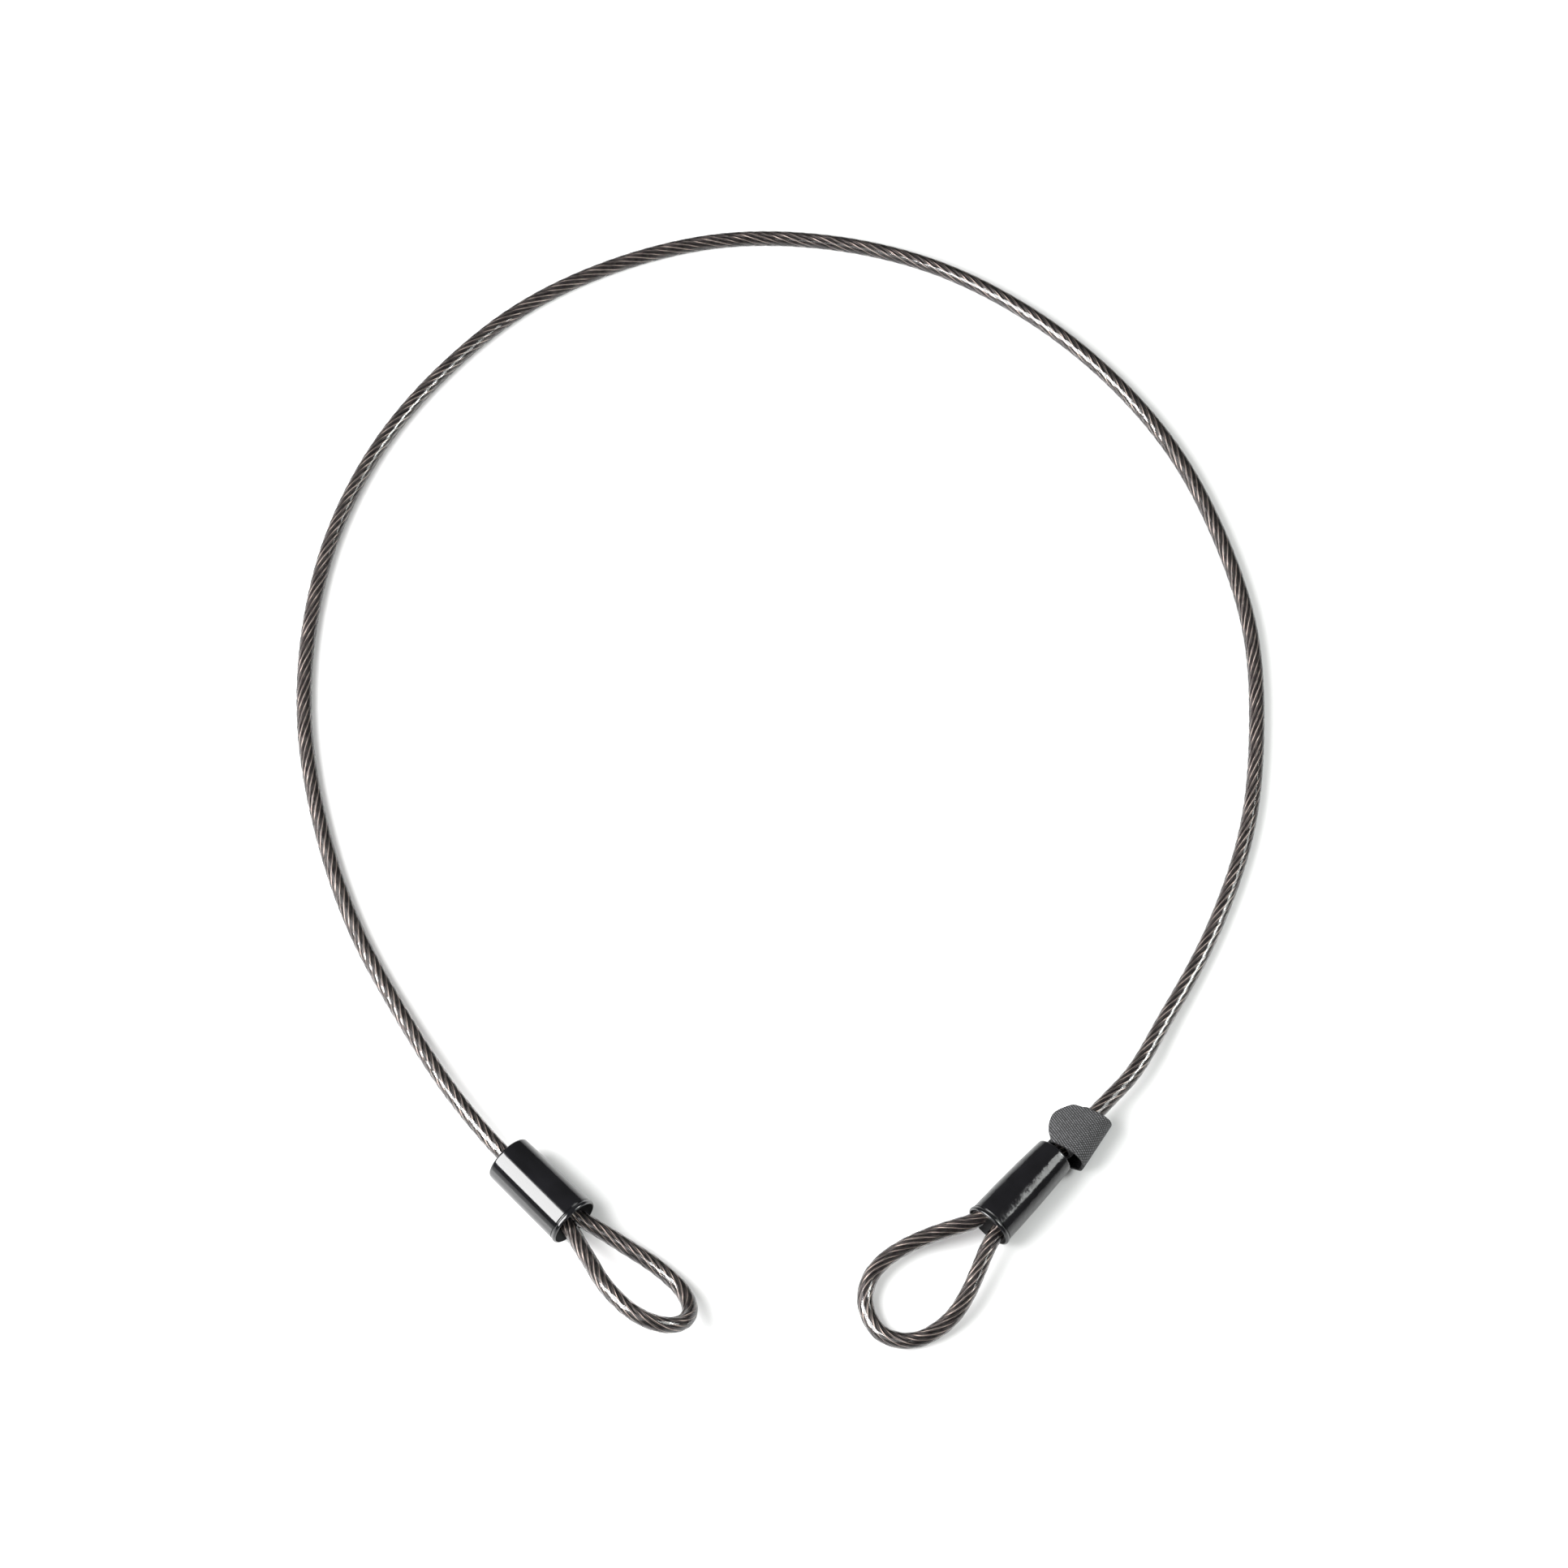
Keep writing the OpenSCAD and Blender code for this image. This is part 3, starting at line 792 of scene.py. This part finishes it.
def make_wrap(name, inner_depth, surface, node):
    """A tape wound round the cable, with a loose outer turn."""
    turns = np.radians(np.linspace(0, 360 * STRAP_TURNS, 260))[:, None]
    share = np.linspace(0, 1, 72)[None, :]
    at = math.pi / 2 + 2 * math.pi * STRAP_TURNS - turns
    outer = np.clip((turns - math.pi) / math.pi, 0, 1)
    outer = outer**2 * (3 - 2 * outer)
    off = np.clip((at - FLARE_AT) / FLARE_SPAN, -1, 1)
    fold = np.exp(-(((at - FOLD_AT) / FOLD_SPAN) ** 2))
    flare = (FLARE_NEAR + (FLARE_FAR - FLARE_NEAR) * share) * np.cos(off * math.pi / 2) ** 2
    flare = flare + FOLD * (1 - share) ** 2 * fold
    length = turns * (WRAP_R + WRAP_PITCH * turns / (4 * math.pi))
    tape = knit(length * np.ones_like(share), STRAP_W * share * np.ones_like(turns))

    def face(depth):
        r = WRAP_R + depth + WRAP_PITCH * turns / (2 * math.pi) + flare
        left = r * np.cos(at)
        return on_strap(STRAP_W * share + askew(left, share, outer), left, r * np.sin(at))

    piece = tape_piece(name, face(inner_depth), face(inner_depth + TAPE_T), tape)
    put(piece, surface, "strap", node)


make_wrap("strap_hook_layer", 0.0, HOOK_CLOTH, "strap_hook_tape")
make_wrap("strap_loop_layer", TAPE_T, LOOP_CLOTH, "strap_loop_tape")


def make_tongue(name, inner_depth, surface, node):
    """The loose end of a tape, with its corners cut off. It droops, most by the cover."""
    width = np.linspace(0, STRAP_W, 90)[None, :]
    edge = np.array(TONGUE_EDGE)
    # The cut edge is slightly frayed
    fray = 0.00007 * np.sin(5700 * width) + 0.00005 * np.sin(9100 * width + 1)
    reach = np.interp(width, edge[:, 0], edge[:, 1]) + fray
    share = width / STRAP_W
    left = np.linspace(0, 1, 48)[:, None] * reach
    drop = (DROOP + CORNER_DROOP * (1 - share) ** 4) * left**2
    along = width + askew(left, share, 1.0)
    tape = knit(STRAP_LEN + left, width * np.ones_like(left))

    def face(depth):
        return on_strap(along, left, TONGUE_Y + depth - drop)

    piece = tape_piece(name, face(inner_depth), face(inner_depth + TAPE_T), tape)
    piece.data.materials.append(surface)
    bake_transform(piece)
    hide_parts(node)


make_tongue("tongue_hook_layer", 0.0, HOOK_CLOTH, "tongue_hook_tape")
make_tongue("tongue_loop_layer", TAPE_T, LOOP_CLOTH, "tongue_loop_tape")

# ---- Floor and light ----


FLOOR_HALF = 4.0


def make_floor():
    half = FLOOR_HALF
    corners = np.array([(-half, -half, 0), (half, -half, 0), (half, half, 0), (-half, half, 0)])
    floor = mesh_object("floor", corners, [(0, 1, 2, 3)], smooth=False)
    floor.data.materials.append(floor_material())


def soft_light(name, azimuth, elevation, distance, width, height, roll, watts, colour):
    """A rectangular soft box aimed at the camera's aim, turned by roll about its own axis."""
    light = bpy.data.objects.new(name, bpy.data.lights.new(name, "AREA"))
    light.data.shape = "RECTANGLE"
    light.data.size = width
    light.data.size_y = height
    light.data.energy = watts
    light.data.color = colour
    around, above = math.radians(azimuth), math.radians(elevation)
    way = np.array([
        math.cos(around) * math.cos(above), math.sin(around) * math.cos(above), math.sin(above)
    ])
    light.location = np.array(AIM) + distance * way
    aim = Euler((math.pi / 2 - above, 0, around + math.pi / 2)).to_matrix()
    light.rotation_euler = (aim @ Matrix.Rotation(math.radians(roll), 3, "Z")).to_euler()
    bpy.context.collection.objects.link(light)


# Azimuth, elevation, distance, width, height, roll, watts and colour of each light. The key light
# and the side light each have a bright middle and a dimmer surround.
LIGHTS = {
    "key": (201, 40, 1.5, 1.0, 1.25, 0, 60, (1, 1, 1)),
    "key_wide": (208, 44, 1.55, 2.4, 1.4, 0, 24, (1, 1, 1)),
    "side": (0, 36, 1.6, 0.9, 0.9, 45, 17, (0.97, 1, 0.98)),
    "side_middle": (0, 36, 1.55, 0.3, 0.3, 45, 8, (0.97, 1, 0.98)),
}
WORLD_LIGHT = 0.12


def make_light():
    for name, values in LIGHTS.items():
        soft_light(name, *values)
    world = bpy.data.worlds.new("studio")
    world.use_nodes = True
    background = world.node_tree.nodes["Background"]
    background.inputs["Color"].default_value = (1, 1, 1, 1)
    background.inputs["Strength"].default_value = WORLD_LIGHT
    bpy.context.scene.world = world
    bpy.context.scene.view_settings.view_transform = "Standard"


make_floor()
make_light()
